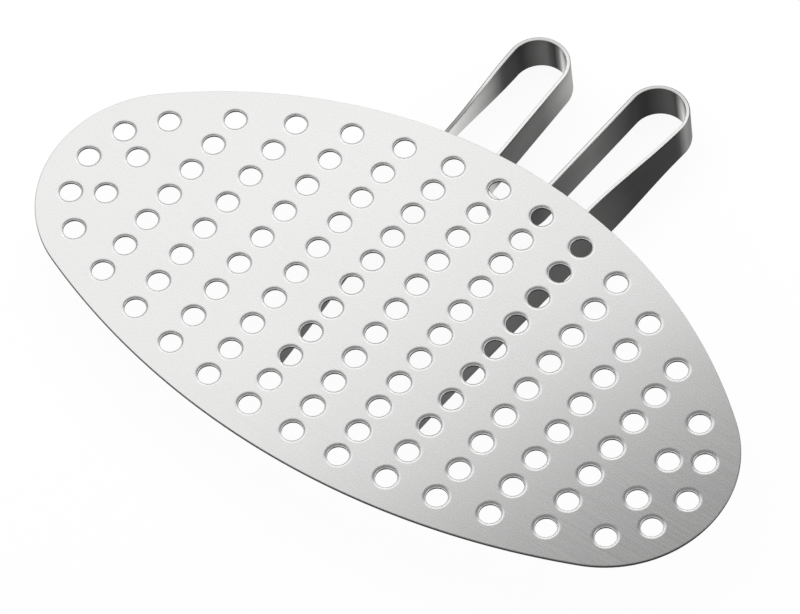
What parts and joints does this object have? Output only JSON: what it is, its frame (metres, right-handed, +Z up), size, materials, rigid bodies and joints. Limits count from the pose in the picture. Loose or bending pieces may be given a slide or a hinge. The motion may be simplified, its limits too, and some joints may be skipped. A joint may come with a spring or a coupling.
{
  "type": "grill basket",
  "caption": "Flat oval perforated grill plate in brushed steel, welded to a handle bent from one flat bar on edge, with two finger loops behind the plate.",
  "frame": {"origin": "middle of the part's footprint, on the surface that the handle bar's bottom edge rests on", "axes": "+X along the plate's long axis, +Y from the plate towards the finger loops, +Z up out of the cooking surface"},
  "size_m": [0.37, 0.2644, 0.0218],
  "materials": {
    "plate_steel": "fine brushed along the long axis, light grey",
    "bar_steel": "brushed along the bar, bright ground edges",
    "weld_steel": "rippled weld metal, faintly heat tinted"
  },
  "bodies": {
    "root": {"perforated_plate": "plate_steel", "handle_strip": "bar_steel", "weld_bead_left_front": "weld_steel", "weld_bead_left_middle": "weld_steel", "weld_bead_left_rear": "weld_steel", "weld_bead_right_front": "weld_steel", "weld_bead_right_middle": "weld_steel", "weld_bead_right_rear": "weld_steel", "weld_bead_centre": "weld_steel"}
  },
  "joints": []
}
